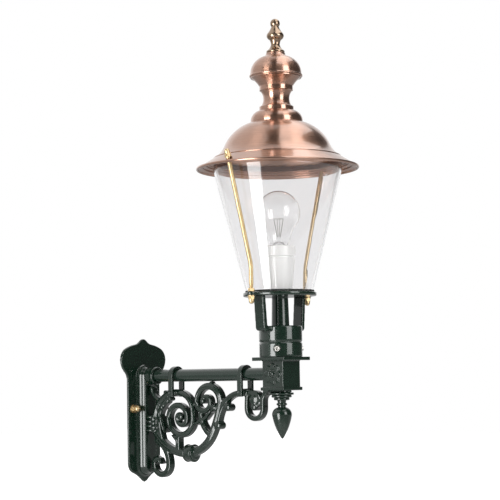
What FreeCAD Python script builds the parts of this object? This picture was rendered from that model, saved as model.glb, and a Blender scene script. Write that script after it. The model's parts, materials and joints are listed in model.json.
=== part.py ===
import FreeCAD, Part
import math
import os

from FreeCAD import Vector

# Outdoor wall lantern on a scrolled arm, in millimetres.
# The origin is on the wall, midway between the two wall studs; +X leaves the wall and +Z is up.

# Driving dimensions of the wall plate and arm
arm_height = 47.5
lantern_reach = 267.0
arm_diameter = 18.0
arm_wall = 2.0
arm_end_gap = 2.0
plate_thickness = 4.0
plate_edge = 9.5
plate_above_arm = 55.0
plate_below_box = 25.5
lobe_width = 13.5
step_margin = 5.5
step_height = 2.6
box_margin = 2.0
box_height = 10.4
box_wall = 3.0
box_run = 130.0
boss_wall = 3.5
boss_flare = 1.5
boss_length = 9.0
boss_lip = 0.9
boss_lip_length = 6.0
wall_stud_radius = 3.0
stud_margin = 1.5
wall_washer_radius = 6.0
wall_washer_height = 1.6
wall_nut_flats = 10.0
wall_nut_height = 12.0

# Driving dimensions of the scroll and its straps
scroll_drawn_span = 250.0
scroll_depth = 12.0
scroll_edge = 1.6
rib_width = 3.6
rib_height = 1.2
rib_edge = 0.8
eye_rise = 1.8
strap_width = 8.5
strap_thickness = 4.4
strap_leg = 31.0
strap_pin_rise = 6.0
rear_strap_x = 52.0
front_strap_x = 184.5
pin_radius = 2.0
pad_radius = 5.5

# Driving dimensions of the lantern's foot
block_side = 37.0
block_height = 36.4
block_flange_margin = 10.0
block_flange_height = 4.8
block_foot_margin = 2.0
block_foot_height = 4.6
rosette_radius = 14.6
petal_count = 8
tongue_width = 14.0
tongue_height = 3.0
tongue_overhang = 9.0
pendant_stud_radius = 4.0
pendant_stud_grip = 8.5
spigot_radius = 23.0
spigot_height = 34.0
spigot_wall = 5.0
socket_wall = 6.75
socket_head_room = 2.0
socket_crown = 6.7
groove_height = 18.6
groove_width = 3.4
groove_depth = 1.9
set_screw_radius = 4.0
set_screw_height = 11.3
set_screw_proud = 2.4
yoke_width = 16.6
yoke_thickness = 6.4
yoke_inset = 4.2
yoke_lean = 3.3
column_height = 40.7
column_top_radius = 11.3
column_bottom_radius = 12.4
wire_way_radius = 5.0
nipple_wall = 1.5
seat_margin = 4.3
seat_thickness = 5.6
seat_screw_radius = 1.6
ear_radius = 6.2

# Driving dimensions of the lantern's head
glass_thickness = 3.0
glass_foot_radius = 46.7
glass_top_radius = 89.6
glass_height = 177.0
glass_lip = 9.0
gasket_height = 2.4
rod_radius = 3.0
rod_thread_radius = 2.5
rod_clearance = 13.8
rod_bend_height = 30.0
rod_bend_radius = 40.0
rod_washer_radius = 5.0
rod_washer_height = 1.0
rod_nut_flats = 8.0
rod_cap_height = 10.5
copper = 1.2
brim_inset = 1.6
brim_rise = 8.0
brim_width = 22.4
brim_drop = 14.0
brim_ring_radius = 0.9
hood_bead = 2.0
hood_height = 74.0
shoulder_radius = 36.2
shoulder_drop = 17.0
neck_radius = 24.0
neck_height = 46.0
cap_radius = 37.3
cap_bead = 1.8
cap_height = 34.6
finial_stud_radius = 3.0
finial_grip = 10.0

# Driving dimensions of the lampholder and bulb
holder_radius = 22.4
holder_height = 48.6
holder_ring_height = 15.7
holder_floor_height = 28.0
holder_bore = 15.6
shell_wall = 1.9
bulb_radius = 30.0
bulb_rise = 46.6
bulb_glass = 0.8
bulb_cap_radius = 13.1
bulb_cap_height = 27.6
bulb_cap_wall = 0.6
bulb_lift = 0.3

# Clearances
slip = 0.1
screw_slip = 0.25

# Sizes worked out from the driving dimensions
arm_radius = arm_diameter / 2
box_half_width = arm_radius + box_margin
step_half_width = box_half_width + step_margin
stud_offset = step_half_width + stud_margin + wall_washer_radius
plate_half_width = stud_offset + plate_edge
plate_top = arm_height + plate_above_arm
plate_bottom = arm_height - box_run - plate_below_box
box_front = plate_thickness + step_height + box_height
boss_radius = arm_radius + boss_wall
boss_front = box_front + boss_length
arm_start = box_front - box_wall
arm_end = lantern_reach - arm_end_gap
scroll_scale = (lantern_reach - box_front) / scroll_drawn_span
strap_inner = arm_radius + slip
strap_outer = strap_inner + strap_thickness
block_top = arm_height + block_height / 2
block_bottom = arm_height - block_height / 2
flange_top = block_top + block_flange_height
foot_bottom = block_bottom - block_foot_height
pendant_top = foot_bottom - tongue_height
socket_bore = spigot_radius + screw_slip
socket_radius = socket_bore + socket_wall
socket_depth = spigot_height + socket_head_room
socket_height = socket_depth + socket_crown
socket_top = flange_top + socket_height
seat_bottom = socket_top + column_height
seat_top = seat_bottom + seat_thickness
seat_radius = glass_foot_radius + seat_margin
yoke_top_radius = seat_radius - yoke_inset
yoke_bottom_radius = yoke_top_radius - yoke_lean
glass_bottom = seat_top + gasket_height
glass_top = glass_bottom + glass_height
rod_foot_radius = glass_foot_radius + rod_clearance
rod_top_radius = glass_top_radius + rod_clearance
brim_radius = glass_top_radius - brim_inset
brim_slope = -brim_drop / brim_width
brim_skin = copper * math.hypot(1, brim_slope)
hood_crown = glass_top + hood_height
cap_seat = hood_crown + neck_height + copper
cap_top = cap_seat + cap_height
holder_floor = seat_top + holder_floor_height
holder_joint = seat_top + holder_height
holder_top = holder_joint + holder_ring_height
bulb_foot_height = holder_top + bulb_lift - bulb_cap_height
bulb_centre = holder_top + bulb_lift + bulb_rise

up = Vector(0, 0, 1)
down = Vector(0, 0, -1)
outward = Vector(1, 0, 0)
sideways = Vector(0, 1, 0)
half = math.sqrt(0.5)
lantern_axis = Vector(lantern_reach, 0, 0)
filament_way = Vector(0.76, 0.65, 0).normalize()


def save(name, *solids):
    """Write one node's solids to its own file."""
    shape = solids[0] if len(solids) == 1 else Part.makeCompound(list(solids))
    shape.exportStep("parts/" + name + ".step")


def path(start, *steps):
    """Edges in the XZ plane: a step is a point for a line, or two points for an arc through the first."""
    edges = []
    here = Vector(start[0], 0, start[1])
    for step in steps:
        if isinstance(step[0], tuple):
            middle, end = (Vector(x, 0, z) for x, z in step)
            edges.append(Part.Arc(here, middle, end).toShape())
        else:
            end = Vector(step[0], 0, step[1])
            edges.append(Part.LineSegment(here, end).toShape())
        here = end
    return edges


def flowing(start, heading, *points):
    """Arcs in the XZ plane through the points, each tangent to the one before; the heading is in degrees."""
    edges = []
    here = Vector(start[0], 0, start[1])
    turn = math.radians(heading)
    along = Vector(math.cos(turn), 0, math.sin(turn))
    for x, z in points:
        there = Vector(x, 0, z)
        chord = (there - here).normalize()
        side = Vector(-chord.z, 0, chord.x)
        bow = math.copysign(math.tan(math.acos(chord.dot(along)) / 2), along.dot(side))
        middle = (here + there) * 0.5 + side * (bow * (there - here).Length / 2)
        edges.append(Part.Arc(here, middle, there).toShape())
        along = chord * (2 * chord.dot(along)) - along
        here = there
    return edges


def crown(radius, edge, top):
    """The arc step of a ball or round cap from a radius at the edge's height to the axis at the top."""
    rise = top - edge
    ball = (radius ** 2 + rise ** 2) / (2 * rise)
    half_turn = math.atan2(radius, abs(ball) - abs(rise)) / 2
    middle = (abs(ball) * math.sin(half_turn), top - ball + ball * math.cos(half_turn))
    return middle, (0, top)


def turned(face):
    """Spin a flat section about the Z axis."""
    return face.revolve(Vector(0, 0, 0), up, 360)


def lathe(*outline):
    """A turned solid standing on the Z axis from a closed outline of radius and height."""
    return turned(Part.Face(Part.Wire(path(outline[0], *outline[1:], outline[0]))))


def lantern_lathe(base, *outline):
    """A turned solid on the lantern's axis, with the outline's heights measured from base."""
    return placed(lathe(*outline), lantern_axis + up * base, up)


def spun(wall, base, *profile):
    """A spun sheet on the lantern's axis, its wall left of the profile, or right where it is negative."""
    sheet = Part.Wire(path(profile[0], *profile[1:])).makeOffset2D(wall, 0, True, True)
    return placed(turned(sheet), lantern_axis + up * base, up)


def prism(wire, direction):
    """A solid pushed out from a closed flat outline."""
    return Part.Face(wire).extrude(direction)


def hexagon(flats, height):
    """A hexagonal bar standing on the origin."""
    corner = flats / math.sqrt(3)
    turns = [math.radians(angle) for angle in range(0, 420, 60)]
    points = [Vector(corner * math.cos(turn), corner * math.sin(turn), 0) for turn in turns]
    return prism(Part.makePolygon(points), up * height)


def hex_nut(flats, height, bore):
    """A plain nut standing on the origin."""
    return hexagon(flats, height).cut(Part.makeCylinder(bore, height))


def cap_nut(flats, height, bore):
    """A domed nut standing on the origin, its blind hole open below."""
    dome = flats * 0.46
    shoulder = height - dome
    top = lathe((0, 0), (dome, 0), (dome, shoulder), crown(dome, shoulder, height))
    return hexagon(flats, height * 0.4).fuse(top).cut(Part.makeCylinder(bore, height * 0.7))


def washer(inner, outer, height):
    """A flat washer standing on the origin."""
    return Part.makeCylinder(outer, height).cut(Part.makeCylinder(inner, height))


def placed(shape, base, direction):
    """A copy of a shape that stood on the origin along Z, stood on base along direction."""
    copy = shape.copy()
    copy.Placement = FreeCAD.Placement(base, FreeCAD.Rotation(up, direction))
    return copy


def both_sides(shape):
    """A shape and its half turn about the lantern's axis."""
    other = shape.copy()
    other.rotate(lantern_axis, up, 180)
    return [shape, other]


def eased(shape, size, test):
    """The shape with a flat bevel on the edges whose ends and middle pass the test."""
    chosen = []
    for edge in shape.Edges:
        points = [vertex.Point for vertex in edge.Vertexes]
        points.append(edge.valueAt((edge.FirstParameter + edge.LastParameter) / 2))
        if all(test(point) for point in points):
            chosen.append(edge)
    return shape.makeChamfer(size, chosen)


# Wall plate: a cast ogee plate with a raised step, a hollow box behind the arm and a boss for the tube
def mirrored_outline(top, bottom):
    """A closed outline in the YZ plane from the upper and lower curves of its right half."""
    side = Part.LineSegment(top[-1].Vertexes[-1].Point, bottom[0].Vertexes[0].Point).toShape()
    right = Part.Wire(top + [side] + bottom)
    right.rotate(Vector(0, 0, 0), up, 90)
    left = right.mirror(Vector(0, 0, 0), sideways)
    return Part.Wire(Part.__sortEdges__(right.Edges + left.Edges))


def slot_outline(half_width):
    """A round-ended slot in the YZ plane that runs down from the arm."""
    low = arm_height - box_run
    top = flowing((0, arm_height + half_width), 0, (half_width, arm_height))
    bottom = flowing((half_width, low), -90, (0, low - half_width))
    return mirrored_outline(top, bottom)


def raised_slot(half_width, start, height, bevel):
    """A round-ended pad that stands off the plate with its front edge eased."""
    pad = prism(slot_outline(half_width), outward * height)
    pad.translate(outward * start)
    return eased(pad, bevel, lambda p: p.x > start + height - 0.01)


def plate_outline():
    """The ogee outline: a point above, a lobe each side, straight flanks and a point below."""
    lobe = plate_half_width + lobe_width
    top = flowing((0, plate_top), 0,
                  (6.5, plate_top - 2.7), (17.5, plate_top - 8.2), (lobe - 10.5, plate_top - 14.0),
                  (lobe, plate_top - 32.0), (plate_half_width + 5.5, plate_top - 48.5),
                  (plate_half_width, plate_top - 60.5))
    bottom = flowing((plate_half_width, plate_bottom + 29.0), -90,
                     (plate_half_width - 10.6, plate_bottom + 13.8), (6.5, plate_bottom + 3.7),
                     (0, plate_bottom))
    return mirrored_outline(top, bottom)


def wall_plate():
    plate = prism(plate_outline(), outward * plate_thickness)
    plate = eased(plate, 1.0, lambda p: p.x > plate_thickness - 0.01)
    step = raised_slot(step_half_width, plate_thickness, step_height, 0.8)
    box = raised_slot(box_half_width, plate_thickness + step_height, box_height, 1.6)
    arm_mouth = Vector(box_front, 0, arm_height)
    boss = Part.makeCone(boss_radius + boss_flare, boss_radius, boss_length, arm_mouth, outward)
    lip_start = Vector(boss_front, 0, arm_height)
    lip = Part.makeCylinder(boss_radius + boss_lip, boss_lip_length, lip_start, outward)
    lip = eased(lip, 1.4, lambda p: True)
    cavity = prism(slot_outline(box_half_width - box_wall), outward * arm_start)
    bore = Part.makeCylinder(arm_radius + slip, boss_front, Vector(arm_start, 0, arm_height), outward)
    hole_radius = wall_stud_radius + 2 * screw_slip
    holes = [Part.makeCylinder(hole_radius, plate_thickness, Vector(0, y, 0), outward)
             for y in (-stud_offset, stud_offset)]
    return plate.fuse([step, box, boss, lip]).cut([cavity, bore] + holes)


def wall_hardware():
    """The washers and domed nuts on the wall studs."""
    flat = washer(wall_stud_radius + screw_slip, wall_washer_radius, wall_washer_height)
    nut = cap_nut(wall_nut_flats, wall_nut_height, wall_stud_radius + slip)
    sides = (-stud_offset, stud_offset)
    washers = [placed(flat, Vector(plate_thickness, y, 0), outward) for y in sides]
    nuts = [placed(nut, Vector(plate_thickness + wall_washer_height, y, 0), outward) for y in sides]
    return washers, nuts


def arm_tube():
    base = Vector(arm_start, 0, arm_height)
    length = arm_end - arm_start
    tube = Part.makeCylinder(arm_radius, length, base, outward)
    return tube.cut(Part.makeCylinder(arm_radius - arm_wall, length, base, outward))


# Scroll casting: flat bars whose middle lines are chains of tangent arcs, drawn from the box's face
# and the underside of the arm, and sized to the room between the box and the lantern
def drawn(x, z):
    """A point of the scroll's drawing."""
    return Vector(box_front + x * scroll_scale, 0, arm_height - arm_radius + z * scroll_scale)


def left_of(heading):
    """The unit vector to the left of a heading in the XZ plane."""
    turn = math.radians(heading)
    return Vector(-math.sin(turn), 0, math.cos(turn))


def round_end(point, heading, width, way):
    """The half circle that closes a bar, ahead of a point or behind it."""
    across = left_of(heading) * (width / 2)
    ahead = left_of(heading - 90) * (way * width / 2)
    return Part.Arc(point + across, point + ahead, point - across).toShape()


def bar(x, z, heading, width, *turns, depth=scroll_depth, edge=scroll_edge):
    """A bar of turns (radius, sweep, end width), left turns positive; only a half turn may taper."""
    here = drawn(x, z)
    left_side, right_side = [], []
    first = (here, heading, width)
    for radius, sweep, end_width in turns:
        normal, middle_normal, end_normal = (left_of(heading + part * sweep) for part in (0, 0.5, 1))
        reach = math.copysign(radius * scroll_scale, sweep)
        centre = here + normal * reach
        there = centre - end_normal * reach
        bulge = middle_normal * ((width + end_width) / 4) + normal * ((width - end_width) / 4)
        middle = centre - middle_normal * reach
        for side, edges in ((1, left_side), (-1, right_side)):
            start = here + normal * (side * width / 2)
            stop = there + end_normal * (side * end_width / 2)
            edges.append(Part.Arc(start, middle + bulge * side, stop).toShape())
        here, heading, width = there, heading + sweep, end_width
    ends = [round_end(*first, -1), round_end(here, heading, width, 1)]
    outline = Part.Wire(Part.__sortEdges__(left_side + right_side + ends))
    blank = prism(outline, sideways * depth)
    blank.translate(sideways * (-depth / 2))
    return eased(blank, edge, lambda p: abs(p.y) > depth / 2 - 0.01)


def rib(x, z, heading, *turns):
    """The raised line along the middle of a bar, on both its faces."""
    steps = [(radius, sweep, rib_width) for radius, sweep in turns]
    return bar(x, z, heading, rib_width, *steps, depth=scroll_depth + 2 * rib_height, edge=rib_edge)


def eye(x, z, radius):
    """The two halves of a domed boss that stands proud of both faces."""
    rim = scroll_depth / 2 + rib_height / 4
    boss = lathe((0, 0), (radius, 0), (radius, rim), crown(radius, rim, rim + eye_rise))
    return [placed(boss, drawn(x, z), sideways), placed(boss, drawn(x, z), sideways * -1)]


def scroll_bars():
    """The arc with its volute, the wall volute, the low curl, the front scroll, its ring and the leaves."""
    arc = (13.4, -74.0, -53)
    volute = (11.65, -65.5, 100)
    return [
        bar(*arc, 11.0, (74.0, 53, 11.0), (58.7, 64, 11.0), (216.0, 10, 11.0), (22.4, 16, 11.0),
            (22.4, 180, 8.5), (13.0, 180, 7.0), (7.4, 165, 7.0)),
        rib(*arc, (74.0, 53), (58.7, 64), (216.0, 10), (22.4, 196)),
        bar(*volute, 9.0, (43.0, -120, 9.0), (27.0, -60, 9.0), (80.0, -10, 9.0), (24.2, -180, 8.5),
            (18.2, -180, 8.0), (10.0, -180, 6.5), (5.25, -150, 6.5)),
        rib(*volute, (43.0, -120), (27.0, -60), (80.0, -10), (24.2, -180)),
        bar(15.9, -84.9, -24, 9.5, (38.0, -66, 9.5), (14.8, -180, 8.0), (7.0, -120, 8.0)),
        bar(134.4, -62.0, 84, 8.0, (57.0, -35, 8.0), (39.4, -47.2, 8.0), (400.0, -3.9, 8.0),
            (9.0, -177.9, 8.0)),
        bar(190.9, -17.2, 262, 7.0, (150.0, 8, 7.0), (14.5, 180, 7.0), (300.0, -2, 7.0), (12.0, -58, 7.0)),
        bar(5.0, -9.6, -75, 7.0, (25.0, 55, 7.0)),
        bar(19.5, -52.0, 80, 8.0, (35.0, -50, 8.0)),
        bar(20.0, -48.0, -96, 8.0, (70.0, 28, 8.0)),
        bar(33.0, -15.0, -80, 6.0, (12.0, 70, 6.0)),
        bar(102.0, -48.6, 280, 8.5, (43.7, 36, 8.5)),
        bar(121.5, -36.5, 10, 6.0, (14.0, -60, 6.0)),
        bar(57.2, -77.6, 267.6, 9.0, (200.0, 5.2, 9.0)),
        bar(148.5, -28.0, -75, 7.5, (12.0, 55, 7.5)),
    ]


def scroll_eyes():
    """The bosses in the curls and at the tips of the leaves."""
    places = ((107.5, -28.0, 4.0), (64.0, -50.5, 5.0), (136.5, -62.5, 5.5), (155.0, -36.8, 5.5),
              (203.0, -26.1, 7.0), (203.8, -36.5, 5.0), (129.5, -37.5, 4.2), (27.0, -37.0, 3.5),
              (24.0, -53.0, 3.5))
    return [boss for place in places for boss in eye(*place)]


def wall_knot():
    """The ridged binding that bears on the box, flat where it touches."""
    ridge = 2.9
    ridge_count = 4
    radius = 7.5
    swell = 1.6
    height = 2 * ridge * ridge_count
    steps = [(0, 0), (radius, 0)]
    for n in range(ridge_count):
        low = 2 * ridge * n
        steps.append(((radius + swell, low + ridge), (radius, low + 2 * ridge)))
    knot = placed(lathe(*steps, (0, height)), drawn(7.5, -72.5), up)
    behind = Part.makeBox(2 * radius, 4 * radius, height, drawn(-2 * radius / scroll_scale, -72.5))
    behind.translate(sideways * (-2 * radius))
    return knot.cut(behind)


def arc_band():
    """The barrel that binds the lower arc."""
    length = 20.0
    barrel = lathe((0, 0), (9.0, 0), ((12.4, length / 2), (9.0, length)), (0, length))
    return placed(barrel, drawn(70.0, -102.6), outward)


def strap_pin_start(x, side):
    """Where a strap's cross pin starts, at a distance to the side of the arm."""
    return drawn(x, 0) + Vector(0, -side, arm_radius - strap_leg + strap_pin_rise)


def tongue():
    """The flat end of the scroll, clamped between the block and the pendant."""
    half_width = tongue_width / 2
    corner = Vector(drawn(221.0, 0).x, -half_width, pendant_top)
    end = lantern_axis + Vector(tongue_overhang, 0, pendant_top)
    slab = Part.makeBox(end.x - corner.x, tongue_width, tongue_height, corner)
    return slab.fuse(Part.makeCylinder(half_width, tongue_height, end))


def arm_nub():
    """The block between the arc's volute and the underside of the arm."""
    width, height = 4.5, 4.0
    depth = scroll_depth - 4.0
    nub = Part.makeBox(width, depth, height, drawn(120.5, -height / scroll_scale))
    nub.translate(sideways * (-depth / 2))
    return nub


def scroll_bracket():
    pad_side = strap_inner - slip
    pin_starts = [strap_pin_start(x, pad_side) for x in (rear_strap_x, front_strap_x)]
    pads = [Part.makeCylinder(pad_radius, 2 * pad_side, start, sideways) for start in pin_starts]
    bars = scroll_bars() + scroll_eyes() + pads + [arm_nub(), tongue(), wall_knot(), arc_band()]
    hole_radius = pin_radius + slip
    pin_holes = [Part.makeCylinder(hole_radius, 2 * pad_side, start, sideways) for start in pin_starts]
    stud_base = lantern_axis + up * pendant_top
    stud_hole = Part.makeCylinder(pendant_stud_radius + screw_slip, tongue_height, stud_base)
    return bars[0].fuse(bars[1:]).cut(pin_holes + [stud_hole])


def saddle_strap(x):
    """A band bent over the arm, with a leg down each side of the scroll."""
    outer, inner = strap_outer, strap_inner
    outline = path((-outer, -strap_leg), (-outer, 0), ((0, outer), (outer, 0)), (outer, -strap_leg),
                   (inner, -strap_leg), (inner, 0), ((0, inner), (-inner, 0)), (-inner, -strap_leg),
                   (-outer, -strap_leg))
    band = prism(Part.Wire(outline), sideways * strap_width)
    band.rotate(Vector(0, 0, 0), up, 90)
    band.translate(drawn(x, 0) + Vector(strap_width / 2, 0, arm_radius))
    return band.cut(strap_pin(x))


def strap_pin(x):
    """A flush pin through a strap's legs and the scroll."""
    return Part.makeCylinder(pin_radius, 2 * strap_outer, strap_pin_start(x, strap_outer), sideways)


# Lantern foot: block with spigot, pendant, socket with its yoke, column and seat
def rosette():
    """A raised flower on the -Y face of the block."""
    centre_radius = 4.0
    petal_start = centre_radius + 0.6
    petal_middle = (petal_start + rosette_radius) / 2
    petal_width = 3.6
    petal_height = 1.6
    petal = prism(Part.Wire(path((petal_start, 0), ((petal_middle, petal_width), (rosette_radius, 0)),
                                 ((petal_middle, -petal_width), (petal_start, 0)))), sideways * -petal_height)
    petals = []
    for n in range(petal_count):
        copy = petal.copy()
        copy.rotate(Vector(0, 0, 0), sideways, 360 / petal_count * n)
        petals.append(copy)
    dome = lathe((0, 0), (centre_radius, 0), crown(centre_radius, 0, 2.8))
    flower = placed(dome, Vector(0, 0, 0), sideways * -1).fuse(petals)
    flower.translate(Vector(lantern_reach, -block_side / 2, arm_height))
    return flower


def square_slab(side, bottom, height):
    """A square slab on the lantern's axis."""
    return Part.makeBox(side, side, height, Vector(lantern_reach - side / 2, -side / 2, bottom))


def lantern_block():
    cube = square_slab(block_side, block_bottom, block_height)
    flange = square_slab(block_side + 2 * block_flange_margin, block_top, block_flange_height)
    foot = square_slab(block_side + 2 * block_foot_margin, foot_bottom, block_foot_height)
    spigot_base = lantern_axis + up * flange_top
    spigot = Part.makeCylinder(spigot_radius, spigot_height, spigot_base)
    spigot_bore = Part.makeCylinder(spigot_radius - spigot_wall, spigot_height, spigot_base)
    arm_bore = Part.makeCylinder(arm_radius + slip, block_side, Vector(arm_end, 0, arm_height), outward * -1)
    arm_centre = lantern_axis + up * arm_height
    wire_way = Part.makeCylinder(arm_radius - arm_wall, flange_top - arm_height, arm_centre)
    stud_base = lantern_axis + up * foot_bottom
    stud_hole = Part.makeCylinder(pendant_stud_radius, pendant_stud_grip + 1.0, stud_base)
    solid = cube.fuse([flange, foot, spigot] + both_sides(rosette()))
    return solid.cut([arm_bore, wire_way, spigot_bore, stud_hole])


def drop_pendant():
    stud = pendant_stud_radius - slip
    stud_top = tongue_height + pendant_stud_grip
    return lantern_lathe(
        pendant_top,
        (0, stud_top), (stud, stud_top), (stud, 0), (16.2, 0), ((17.0, -1.5), (16.2, -3.0)),
        (13.2, -3.4), ((14.0, -5.0), (13.2, -6.6)), (10.2, -7.0), ((10.9, -8.6), (10.2, -10.2)),
        (6.2, -10.8), (5.6, -14.0), ((7.4, -15.8), (5.6, -17.6)), (5.4, -19.6),
        ((12.2, -24.6), (13.7, -30.2)), ((9.9, -45.0), (1.6, -62.0)), crown(1.6, -62.0, -63.0))


def yoke_leg():
    """One leg of the yoke on the +Y side, an L whose foot runs into the socket."""
    foot_top = socket_top - 0.5
    foot = foot_top - yoke_thickness
    heel = yoke_bottom_radius
    inner_top = yoke_top_radius - yoke_thickness
    inner_heel = heel - yoke_thickness
    root = socket_radius - 4.0
    outline = path((root, foot), (heel - 5, foot), ((heel - 1.5, foot + 1.5), (heel, foot + 5)),
                   (yoke_top_radius, seat_bottom), (inner_top, seat_bottom), (inner_heel, foot_top + 2),
                   ((inner_heel - 0.6, foot_top + 0.6), (inner_heel - 2, foot_top)),
                   (root, foot_top), (root, foot))
    leg = prism(Part.Wire(outline), sideways * yoke_width)
    leg.translate(sideways * (-yoke_width / 2))
    leg.rotate(Vector(0, 0, 0), up, 90)
    leg.translate(lantern_axis)
    return leg


def set_screw_places():
    """Where each set screw meets the spigot, with the direction out of the socket."""
    places = []
    for angle in (-60, 60, 180):
        turn = math.radians(angle)
        way = Vector(math.cos(turn), math.sin(turn), 0)
        places.append((lantern_axis + up * (flange_top + set_screw_height) + way * spigot_radius, way))
    return places


def seat_screw_places():
    """The foot of the seat over the middle of each leg."""
    middle = yoke_top_radius - yoke_thickness / 2
    return [lantern_axis + Vector(0, side * middle, seat_bottom) for side in (-1, 1)]


def socket_yoke():
    radius = socket_radius
    way = wire_way_radius + 3.0
    ring = lantern_lathe(
        flange_top,
        (socket_bore, 0), (radius - 0.6, 0), (radius, 0.6), (radius, groove_height),
        (radius - groove_depth, groove_height + groove_width / 2), (radius, groove_height + groove_width),
        (radius, socket_height - 1.2), (radius - 1.2, socket_height), (way, socket_height),
        (way, socket_depth), (socket_bore, socket_depth))
    screw_hole = Part.makeCylinder(set_screw_radius + slip, 2 * socket_wall)
    screw_holes = [placed(screw_hole, base, direction) for base, direction in set_screw_places()]
    seat_hole = Part.makeCylinder(seat_screw_radius + slip, 12.0)
    seat_holes = [placed(seat_hole, base, down) for base in seat_screw_places()]
    return ring.fuse(both_sides(yoke_leg())).cut(screw_holes + seat_holes)


def set_screws():
    length = socket_radius - spigot_radius + set_screw_proud
    screw = Part.makeCylinder(set_screw_radius, length)
    screw = eased(screw, 0.7, lambda p: p.z > length - 0.01)
    depth = 3.0
    recess = hexagon(set_screw_radius, depth)
    recess.translate(up * (length - depth))
    screw = screw.cut(recess)
    return [placed(screw, base, way) for base, way in set_screw_places()]


def column():
    base = lantern_axis + up * socket_top
    cone = Part.makeCone(column_bottom_radius, column_top_radius, column_height, base)
    return cone.cut(Part.makeCylinder(wire_way_radius + slip, column_height, base))


def seat_flange():
    base = lantern_axis + up * seat_bottom
    disc = Part.makeCylinder(seat_radius, seat_thickness, base)
    corner = base - Vector(ear_radius, rod_foot_radius, 0)
    arms = Part.makeBox(2 * ear_radius, 2 * rod_foot_radius, seat_thickness, corner)
    ear_places = [base + sideways * (side * rod_foot_radius) for side in (-1, 1)]
    ears = [Part.makeCylinder(ear_radius, seat_thickness, place) for place in ear_places]
    flange = disc.fuse([arms] + ears).removeSplitter()
    flange = eased(flange, 1.2, lambda p: True)
    hole_radius = rod_thread_radius + screw_slip
    rod_holes = [Part.makeCylinder(hole_radius, seat_thickness, place) for place in ear_places]
    nipple_hole = Part.makeCylinder(wire_way_radius + slip, seat_thickness, base)
    holes = [placed(seat_screw_shape(slip), place, up) for place in seat_screw_places()]
    return flange.cut(rod_holes + [nipple_hole] + holes)


def seat_screw_shape(room):
    """A countersunk screw that ends just below the seat's face, or its hole where it has room round it."""
    shank = seat_screw_radius + room
    head = 2.4 * seat_screw_radius + room
    top = seat_thickness - slip + room
    return lathe((0, -10.0), (shank, -10.0), (shank, top - head + shank), (head, top), (0, top))


def seat_screws():
    """Countersunk screws that hold the seat on the yoke's legs."""
    return [placed(seat_screw_shape(0.0), place, up) for place in seat_screw_places()]


# Lantern head: tie rods, glass, hood, ventilator and finial
def brim_height(radius):
    """The height of the brim's upper face above the glass at a radius."""
    return brim_rise + (radius - brim_radius) * brim_slope


def rod_line():
    """The foot of a rod's bend, the start of its lean and its lean in radians, on the +Y side."""
    bend = Vector(lantern_reach, rod_foot_radius, seat_top + rod_bend_height)
    across = rod_top_radius - rod_foot_radius - rod_bend_radius
    rise = glass_top + brim_height(rod_top_radius) - bend.z
    lean = math.atan2(across, rise) + math.asin(rod_bend_radius / math.hypot(across, rise))
    knee = bend + Vector(0, 1 - math.cos(lean), math.sin(lean)) * rod_bend_radius
    return bend, knee, lean


def rod_at_brim():
    """Where a rod passes the brim's upper face, and its direction there."""
    lean = rod_line()[2]
    place = Vector(lantern_reach, rod_top_radius, glass_top + brim_height(rod_top_radius))
    return place, Vector(0, math.sin(lean), math.cos(lean))


def tie_rod():
    """A rod with turned-down threaded ends, on the +Y side."""
    bend, knee, lean = rod_line()
    brim, way = rod_at_brim()
    thread_below = 8.0
    thread_above = 9.0
    foot = Vector(bend.x, bend.y, seat_bottom - thread_below)
    shank_foot = Vector(bend.x, bend.y, seat_top + thread_above)
    neck = brim - way * 4.0
    lower_thread = Part.makeCylinder(rod_thread_radius, shank_foot.z - foot.z, foot)
    shank = Part.makeCylinder(rod_radius, bend.z - shank_foot.z, shank_foot)
    section = Part.Face(Part.Wire(Part.makeCircle(rod_radius, bend, up)))
    curve = section.revolve(bend + sideways * rod_bend_radius, outward * -1, math.degrees(lean))
    upper = Part.makeCylinder(rod_radius, (neck - knee).Length, knee, way)
    upper_thread = Part.makeCylinder(rod_thread_radius, thread_above + 4.0, neck, way)
    return shank.fuse([lower_thread, curve, upper, upper_thread])


def rod_hardware():
    """Nuts above the ears, washers, and domed nuts below the ears and on the brim."""
    bore = rod_thread_radius + slip
    place, way = rod_at_brim()
    tilt = math.atan(-brim_slope) - math.atan2(way.y, way.z)
    brim = place + way * (rod_washer_radius * math.tan(tilt) + slip / 2)
    ear = lantern_axis + sideways * rod_foot_radius
    flat = washer(bore, rod_washer_radius, rod_washer_height)
    cap = cap_nut(rod_nut_flats, rod_cap_height, bore)
    nut = placed(hex_nut(rod_nut_flats, rod_nut_flats / 2, bore), ear + up * seat_top, up)
    low_washer = placed(flat, ear + up * seat_bottom, down)
    low_cap = placed(cap, ear + up * (seat_bottom - rod_washer_height), down)
    top_washer = placed(flat, brim, way)
    top_cap = placed(cap, brim + way * rod_washer_height, way)
    washers = both_sides(low_washer) + both_sides(top_washer)
    return both_sides(nut), washers, both_sides(low_cap) + both_sides(top_cap)


def lower_gasket():
    ring = washer(glass_foot_radius - glass_thickness - 0.6, glass_foot_radius + 1.0, gasket_height)
    return placed(ring, lantern_axis + up * seat_top, up)


def glass_shade():
    lip_start = glass_height - glass_lip
    return spun(glass_thickness, glass_bottom,
                (glass_foot_radius, 0), (glass_top_radius - 1.0, lip_start - 4.0),
                ((glass_top_radius - 0.2, lip_start), (glass_top_radius, lip_start + 4.0)),
                (glass_top_radius, glass_height))


def upper_gasket():
    """The ring between the glass and the underside of the hood."""
    inner, outer = glass_top_radius - glass_thickness - 0.4, glass_top_radius + 0.6
    inner_top, outer_top = (brim_height(radius) - brim_skin for radius in (inner, outer))
    return lantern_lathe(glass_top, (inner, 0), (outer, 0), (outer, outer_top), (inner, inner_top - 0.8))


def brim_ring(radius, drop):
    """A swaged ring round the brim, at a depth below its upper face."""
    height = glass_top + brim_height(radius) - drop
    return Part.makeTorus(radius, brim_ring_radius, lantern_axis + up * height)


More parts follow.
